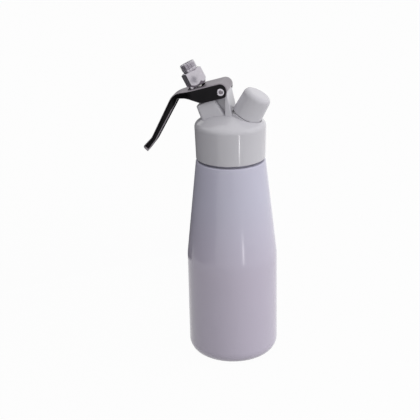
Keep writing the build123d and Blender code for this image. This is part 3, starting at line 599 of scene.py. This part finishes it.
def gap_to_line(point, line):
    """How far a point of XZ is from a line of points."""
    gaps = []
    for a, b in zip(line, line[1:]):
        a, b = Vector(a), Vector(b)
        share = max(0, min(1, (point - a).dot(b - a) / max((b - a).length_squared, 1e-9)))
        gaps.append((point - a.lerp(b, share)).length)
    return min(gaps)


def round_long_edges(form, line, radius, segments):
    """Rounds the edges between the faces along a line of the side view and those beside them."""
    mesh = form.data
    back = []
    for face in mesh.polygons:
        gap = gap_to_line(Vector((face.center.x, face.center.z)) / MM, line)
        back.append(gap < ON_LINE and abs(face.normal.y) < ACROSS_SHARE)
    sides = {}
    for face in mesh.polygons:
        for key in face.edge_keys:
            sides.setdefault(key, []).append(face.index)
    bpy.ops.object.select_all(action="DESELECT")
    bpy.context.view_layer.objects.active = form
    form.select_set(True)
    bpy.ops.object.mode_set(mode="EDIT")
    bpy.ops.mesh.select_all(action="DESELECT")
    bpy.ops.mesh.select_mode(type="EDGE")
    bpy.ops.object.mode_set(mode="OBJECT")
    for edge in mesh.edges:
        faces = sides.get(tuple(sorted(edge.vertices)), [])
        if len(faces) == 2 and back[faces[0]] != back[faces[1]]:
            turn = mesh.polygons[faces[0]].normal.angle(mesh.polygons[faces[1]].normal)
            edge.select = turn > SHARP_TURN
    bpy.ops.object.mode_set(mode="EDIT")
    bpy.ops.mesh.bevel(offset=radius * MM, offset_type="OFFSET", segments=segments, affect="EDGES")
    bpy.ops.mesh.select_all(action="SELECT")
    bpy.ops.mesh.remove_doubles(threshold=FINE_WELD)
    bpy.ops.mesh.select_mode(type="VERT")
    bpy.ops.object.mode_set(mode="OBJECT")


ORDER_FROM = (-31.3, 17.1, 211.9)       # beside the sheet and off its middle, in millimetres


def set_order(piece):
    """Puts points, edges and faces in order of distance, so that they merge alike on each run."""
    bpy.ops.object.select_all(action="DESELECT")
    bpy.context.view_layer.objects.active = piece
    piece.select_set(True)
    bpy.ops.object.mode_set(mode="EDIT")
    bpy.ops.mesh.select_all(action="SELECT")
    cursor = bpy.context.scene.cursor
    cursor.location = Vector(ORDER_FROM) * MM
    bpy.ops.mesh.sort_elements(type="CURSOR_DISTANCE", elements={"VERT", "EDGE", "FACE"})
    cursor.location = (0, 0, 0)
    bpy.ops.object.mode_set(mode="OBJECT")


hood, bends = back_line(0)
tip_low = beside(tip_at, flare_way, 0, TIP_H)
shallow = beside(flare_at, handle_way, 0, FLANGE_END_H)
deep = beside(flare_at, handle_way, -FLANGE_TAPER, FLANGE_H)
belly = beside(PIVOT, plate_way, BELLY_LEN, CHEEK_DROP)
saddle = crossing((0, PIVOT[1] - SADDLE_DROP), 180, deep, handle_way)
saddle_on = crossing(belly, plate_way - BELLY_TURN, saddle, 180 + SADDLE_TURN)
nose = crossing(belly, plate_way, hood[0], HOOD_END + 90)
free_edge = [(*shallow, FLANGE_BEND_R), (*deep, FLANGE_BEND_R), (*saddle, SADDLE_R),
             (*saddle_on, SADDLE_BEND_R), (*belly, BELLY_R), (*nose, NOSE_R), hood[0]]
outer_line = hood[:-1] + rounded([hood[-1], *bends, (*tip_low, TIP_CORNER_R), *free_edge], LINE_STEPS)
lever = pressed_form("lever_sheet", outer_line[:-1], 0)
top_line = hood[:-1] + rounded([hood[-1], *bends[:2], bends[2][:2]], LINE_STEPS)
round_long_edges(lever, top_line, SHEET_BEND_R, 5)
low_line = rounded([tip_low, *free_edge], LINE_STEPS)
round_long_edges(lever, low_line, EDGE_R, 3)
hood, bends = back_line(SHEET)
open_end = beside(bends[2][:2], flare_way, 0, 3 * TIP_H)
room_line = hood[:-1] + rounded([hood[-1], *bends, (*open_end, 0), (ROOM_X, open_end[1], 0),
                                 (ROOM_X, hood[0][1] - ROOM_DROP, 0), hood[0]], LINE_STEPS)
room = pressed_form("lever_room", room_line[:-1], SHEET)
top_line = hood[:-1] + rounded([hood[-1], *bends[:2], bends[2][:2]], LINE_STEPS)
round_long_edges(room, top_line, SHEET_BEND_R - SHEET, 3)
combine(lever, room, "DIFFERENCE")
slot_half = rounded([(-SLOT_FAR, 0), (-SLOT_FAR, SLOT_W, SLOT_CORNER_R),
                     (-SLOT_NEAR, SLOT_W, SLOT_CORNER_R), (-SLOT_NEAR, 0)], 4)
slot_at = beside(PIVOT, plate_way, 0, -PLATE_H - 0.45 * BLOCK_H)
combine(lever, slab("stem_slot", mirrored_plan(slot_half), slot_at, PLATE_TILT), "DIFFERENCE")

bpy.ops.object.select_all(action="DESELECT")
bpy.ops.mesh.primitive_cylinder_add(vertices=48, radius=RIVET_R * MM, depth=3 * HALF_W * MM,
                                    location=(PIVOT[0] * MM, 0, PIVOT[1] * MM),
                                    rotation=(math.pi / 2, 0, 0))
combine(lever, bpy.context.object, "DIFFERENCE")
set_order(lever)
SLIVER, FLAT_ANGLE, LARGE_FACE = 0.005, 0.4, 6.0        # millimetres, degrees and millimetres
bpy.ops.object.mode_set(mode="EDIT")
bpy.ops.mesh.select_all(action="SELECT")
bpy.ops.mesh.remove_doubles(threshold=SLIVER * MM)
bpy.ops.mesh.dissolve_limited(angle_limit=math.radians(FLAT_ANGLE))
bpy.ops.object.mode_set(mode="OBJECT")
smooth(lever, 32)
for face in lever.data.polygons:
    face.use_smooth = face.area < (LARGE_FACE * MM) ** 2
even = lever.modifiers.new("even_shading", "WEIGHTED_NORMAL")
even.keep_sharp = True
apply_step(lever, even)
brushed_steel = finish("brushed_steel", (0.250, 0.227, 0.252), (0.290, 0.262, 0.290), (0.30, 0.42),
                       (60, 2600), 0.15, metallic=0.65, stretch=(0.12, 1, 1))
# near-black steel for the cheeks and flanges: a painted dark reflection of the polished sheet, not a coat
# of its own
painted_dark_steel = finish("painted_dark_reflection", (0.007, 0.0065, 0.0075), (0.011, 0.010, 0.0115), (0.22, 0.34),
                    (60, 2600), 0.3, metallic=0.85)
lever.data.materials.append(brushed_steel)
lever.data.materials.append(painted_dark_steel)
# the painted dark reflection stops sooner on the rounded free edge of the flanges and on the tip's wall
# than on the bends, which leaves a painted highlight of the brushed steel along those edges
TIP_WALL_LEN, LIT_EDGE_LEN = 6.0, 46.0
DARK_ON_BEND, DARK_ON_LIT_EDGE = 0.75, 0.985
for face in lever.data.polygons:
    to_tip = math.hypot(face.center.x / MM - tip_at[0], face.center.z / MM - tip_at[1])
    edge_lit = to_tip < TIP_WALL_LEN or (to_tip < LIT_EDGE_LEN and face.normal.x > 0)
    if abs(face.normal.y) > (DARK_ON_LIT_EDGE if edge_lit else DARK_ON_BEND):
        face.material_index = 1
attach(lever, "lever")
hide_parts("lever")

# ------------------------------------------------------------------ rivet and washers
# Hollow-ended steel rivet whose lips are rolled over the cheeks. Two thin acetal washers keep the
# cheeks off the post.
RIVET_HEAD_R, RIVET_RIM_R, RIVET_CUP_R = 3.2, 2.35, 1.5
rivet_side, rivet_lip, rivet_cup_lip = HALF_W + 0.55, HALF_W + 0.9, HALF_W + 0.5
rivet_cup_floor = rivet_lip - 1.6
half_rivet = [(RIVET_R, HALF_W, 0.1), (RIVET_HEAD_R, HALF_W, 0.15), (RIVET_HEAD_R, rivet_side, 0.35),
              (RIVET_RIM_R, rivet_lip, 0.5), (RIVET_CUP_R, rivet_cup_lip, 0.3),
              (RIVET_CUP_R, rivet_cup_floor, 0.25), (0, rivet_cup_floor)]
other_half = [(r, -h, *edge_r) for r, h, *edge_r in reversed(half_rivet)]
rivet = spun("pivot_rivet", rounded(other_half + half_rivet, 5), 64)
pivot_axis = Matrix.Translation((PIVOT[0] * MM, 0, PIVOT[1] * MM)) @ Matrix.Rotation(math.pi / 2, 4, "X")
set_on(rivet, pivot_axis)
smooth(rivet, 40)
rivet.data.materials.append(adapter_steel)
rivet.data.materials.append(brushed_steel)
# the faces inside the hollow end take the darker brushed steel: painted shade in the hollow
for face in rivet.data.polygons:
    off_axis = math.hypot(face.center.x / MM - PIVOT[0], face.center.z / MM - PIVOT[1])
    if off_axis < RIVET_CUP_R and abs(face.center.y) > HALF_W / 2 * MM:
        face.material_index = 1
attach(rivet, "lever")
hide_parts("pivot_pin")
dress("pivot_washers", acetal)

# ------------------------------------------------------------------ charger inlet
# Turned aluminium socket that takes the gas charger, with an outside thread for charger holder and
# cap. Its stub goes through the head and is held by a nut; a rubber band on it is the check valve.
CHARGER_TILT, CHARGER_FOOT = 29.0, 195.6
charger_axis = (Matrix.Translation((0, 0, CHARGER_FOOT * MM))
                @ Matrix.Rotation(math.radians(CHARGER_TILT), 4, "Y"))
STUB_R, STUB_FOOT, SEAT_R, SEAT_LOW = 4.0, 17.7, 8.6, 25.4
INLET_ROOT_R, INLET_R, INLET_LOW, INLET_TOP, RIM_LEN = 9.6, 10.3, 29.6, 43.0, 0.8
INLET_THREAD_Z, INLET_PITCH, INLET_TURNS = INLET_LOW + 2.0, 1.5, 6
INLET_RIDGE_FOOT, INLET_RIDGE_CREST = 1.5, 0.2
CHARGER_R, CHARGER_FLOOR, PIN_R, PIN_FLOOR, GAS_R, GAS_FLOOR = 4.7, 30.0, 1.5, 25.0, 0.8, 20.3
inlet_outside = [(0, STUB_FOOT), (STUB_R, STUB_FOOT, 0.2), (STUB_R, SEAT_LOW, 0), (SEAT_R, SEAT_LOW, 0.2),
                 (SEAT_R, INLET_LOW, 0), (INLET_R, INLET_LOW, 0.1), (INLET_R, INLET_LOW + RIM_LEN, 0.1),
                 (INLET_ROOT_R, INLET_LOW + RIM_LEN, 0.1), (INLET_ROOT_R, INLET_TOP, 0.5)]
inlet_inside = [(CHARGER_R, INLET_TOP, 0.5), (CHARGER_R, CHARGER_FLOOR, 0), (PIN_R, CHARGER_FLOOR, 0),
                (PIN_R, PIN_FLOOR, 0), (GAS_R, PIN_FLOOR, 0), (GAS_R, GAS_FLOOR, 0), (0, GAS_FLOOR)]
inlet = spun("charger_socket", rounded(inlet_outside + inlet_inside, 3), 96)
inlet_thread = thread_ridge("inlet_thread", INLET_ROOT_R - RIDGE_ROOT, INLET_R, INLET_THREAD_Z,
                            INLET_PITCH, INLET_TURNS, INLET_RIDGE_FOOT, INLET_RIDGE_CREST, FINE_STEPS)
combine(inlet, inlet_thread, "UNION")
set_on(inlet, charger_axis)
smooth(inlet, 30)
socket_metal = finish("socket_aluminium", ALUMINIUM_DARK, ALUMINIUM_LIGHT, (0.28, 0.42), (400, 3000),
                      0.5, metallic=1.0, turned=charger_axis)
inlet.data.materials.append(socket_metal)
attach(inlet, "head")
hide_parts("charger_inlet")
dress("inlet_seal", black_rubber)
dress("charger_seal", black_rubber)
dress("piercing_pin", wire_steel)
dress("check_band", black_rubber)
dress("check_nut", socket_metal)

# ------------------------------------------------------------------ charger cap
# Round-ended screw cap of the head's own plastic with a silicone liner inside. It keeps dirt out
# of the charger inlet.
dress("cap_liner", silicone)
dress("charger_cap", plastic)

# ------------------------------------------------------------------ studio
# Plain pale floor, a soft bright room and dark cards for the metal to reflect. None of it is part
# of the object.
FLOOR_SIZE, FLOOR_GREY, FLOOR_ROUGH, FLOOR_GLOW = 12.0, 0.45, 0.9, 0.97
bpy.ops.object.select_all(action="DESELECT")
bpy.ops.mesh.primitive_plane_add(size=FLOOR_SIZE, location=(0, 0, 0))
floor = bpy.context.object
floor.name = "studio_floor"
floor_paint, floor_shader, add, join = new_material("studio_floor_paint")
floor_shader.inputs["Base Color"].default_value = (FLOOR_GREY, FLOOR_GREY, FLOOR_GREY, 1)
floor_shader.inputs["Roughness"].default_value = FLOOR_ROUGH
floor_shader.inputs["Specular IOR Level"].default_value = 0.0


def seen_by_eye(add, join):
    """1 on camera, mirror and glass rays and 0 on the others, from the Light Path node."""
    path = add("ShaderNodeLightPath")
    seen = add("ShaderNodeMath", operation="ADD", use_clamp=True)
    seen_too = add("ShaderNodeMath", operation="ADD", use_clamp=True)
    join(path.outputs["Is Camera Ray"], seen.inputs[0])
    join(path.outputs["Is Glossy Ray"], seen.inputs[1])
    join(seen.outputs[0], seen_too.inputs[0])
    join(path.outputs["Is Transmission Ray"], seen_too.inputs[1])
    return seen_too.outputs[0]


share = add("ShaderNodeMath", operation="MULTIPLY")
share.inputs[1].default_value = FLOOR_GLOW
join(seen_by_eye(add, join), share.inputs[0])
glow = add("ShaderNodeEmission")
blend = add("ShaderNodeMixShader")
join(share.outputs[0], blend.inputs["Fac"])
join(floor_shader.outputs[0], blend.inputs[1])
join(glow.outputs[0], blend.inputs[2])
join(blend.outputs[0], floor_paint.node_tree.nodes["Material Output"].inputs["Surface"])
floor.data.materials.append(floor_paint)

# the room is white to the eye; its light is weaker than that, and swings across from a bright
# side to a dark one (a bearing of 0 is in front of the object, and 90 on its right)
ROOM_LEVEL, ROOM_SWING, ROOM_BRIGHT_SIDE = 0.83, 0.42, 80.0
world = bpy.data.worlds.new("studio_room")
bpy.context.scene.world = world
world.use_nodes = True
tree = world.node_tree
back = tree.nodes["Background"]


def room_node(kind, **values):
    """A node of the room's light."""
    node = tree.nodes.new(kind)
    for key, value in values.items():
        setattr(node, key, value)
    return node


bright = math.radians(ROOM_BRIGHT_SIDE)
where = room_node("ShaderNodeTexCoord")
across = room_node("ShaderNodeVectorMath", operation="DOT_PRODUCT")
across.inputs[1].default_value = (math.sin(bright), -math.cos(bright), 0.0)
tree.links.new(where.outputs["Generated"], across.inputs[0])
slope = room_node("ShaderNodeMath", operation="MULTIPLY_ADD", use_clamp=True)
slope.inputs[1].default_value = ROOM_SWING
slope.inputs[2].default_value = ROOM_LEVEL
tree.links.new(across.outputs["Value"], slope.inputs[0])
level = room_node("ShaderNodeMix")
level.inputs["B"].default_value = 1.0
tree.links.new(seen_by_eye(room_node, tree.links.new), level.inputs["Factor"])
tree.links.new(slope.outputs[0], level.inputs["A"])
tree.links.new(level.outputs["Result"], back.inputs["Strength"])
back.inputs["Color"].default_value = (1, 1, 1, 1)

OBJECT_MIDDLE = (0, 0, 0.14)


def soft_lamp(name, bearing, elevation, distance, size, watts, aim=OBJECT_MIDDLE, glossy=False):
    """Area lamp that faces its aim from a bearing and an elevation, in metres and degrees."""
    lamp_data = bpy.data.lights.new(name, "AREA")
    lamp_data.shape = "RECTANGLE"
    lamp_data.size, lamp_data.size_y = size
    lamp_data.energy = watts
    lamp = bpy.data.objects.new(name, lamp_data)
    bpy.context.scene.collection.objects.link(lamp)
    a, e = math.radians(bearing), math.radians(elevation)
    offset = Vector((math.sin(a) * math.cos(e), -math.cos(a) * math.cos(e), math.sin(e))) * distance
    lamp.location = Vector(aim) + offset
    lamp.rotation_euler = offset.to_track_quat("Z", "Y").to_euler()
    lamp.visible_camera = False
    lamp.visible_glossy = glossy
    return lamp


soft_lamp("top_lamp", 10, 80, 1.2, (0.8, 0.8), 0.2)
soft_lamp("side_lamp", 80, 25, 1.2, (0.8, 0.9), 4.5)
# a low bright strip that is only seen reflected, as the narrow highlight down the head's skirt
strip = soft_lamp("strip_lamp", 39.5, 0, 0.5, (0.014, 0.036), 0.038, aim=(0, 0, 0.026), glossy=True)
strip.visible_diffuse = False


def dark_card(name, bearing, distance, width, low, high, grey):
    """Upright card beside the object, unseen by the camera, for lacquer and metal to reflect."""
    a = math.radians(bearing)
    bpy.ops.object.select_all(action="DESELECT")
    bpy.ops.mesh.primitive_plane_add(size=1, location=(math.sin(a) * distance, -math.cos(a) * distance,
                                                       (low + high) / 2),
                                     rotation=(math.pi / 2, 0, a))
    card = bpy.context.object
    card.scale = (width, high - low, 1)
    card.name = name
    card.visible_camera = False
    paint, shader, add, join = new_material(name)
    shader.inputs["Base Color"].default_value = (grey, grey, grey * 1.05, 1)
    shader.inputs["Roughness"].default_value = 0.8
    card.data.materials.append(paint)


dark_card("left_card", -80, 0.34, 0.40, 0.005, 0.36, 0.15)
dark_card("front_card", 12, 1.3, 0.30, 0.12, 0.42, 0.70)
dark_card("back_left_card", -140, 0.22, 0.30, 0.005, 0.27, 0.13)
dark_card("front_left_card", -43, 0.42, 0.20, 0.005, 0.26, 0.30)
dark_card("right_card", 62, 1.0, 0.10, 0.25, 0.90, 0.15)

# a long lens that looks down on the object from a little to its right
CAMERA_AT, CAMERA_LENS, CAMERA_SENSOR, CAMERA_FAR = (0.194608, -0.915559, 0.484392), 96.65, 36.0, 50
CAMERA_AZIMUTH, CAMERA_PITCH, CAMERA_ROLL = 13.169, 20.483, -1.255
camera_data = bpy.data.cameras.new("camera")
camera_data.sensor_width = CAMERA_SENSOR
camera_data.lens = CAMERA_LENS
camera_data.clip_end = CAMERA_FAR
camera = bpy.data.objects.new("camera", camera_data)
bpy.context.scene.collection.objects.link(camera)
camera.matrix_world = (Matrix.Translation(CAMERA_AT)
                       @ Matrix.Rotation(math.radians(CAMERA_AZIMUTH), 4, "Z")
                       @ Matrix.Rotation(math.radians(90 - CAMERA_PITCH), 4, "X")
                       @ Matrix.Rotation(math.radians(CAMERA_ROLL), 4, "Z"))
bpy.context.scene.camera = camera
bpy.context.scene.view_settings.view_transform = "Standard"
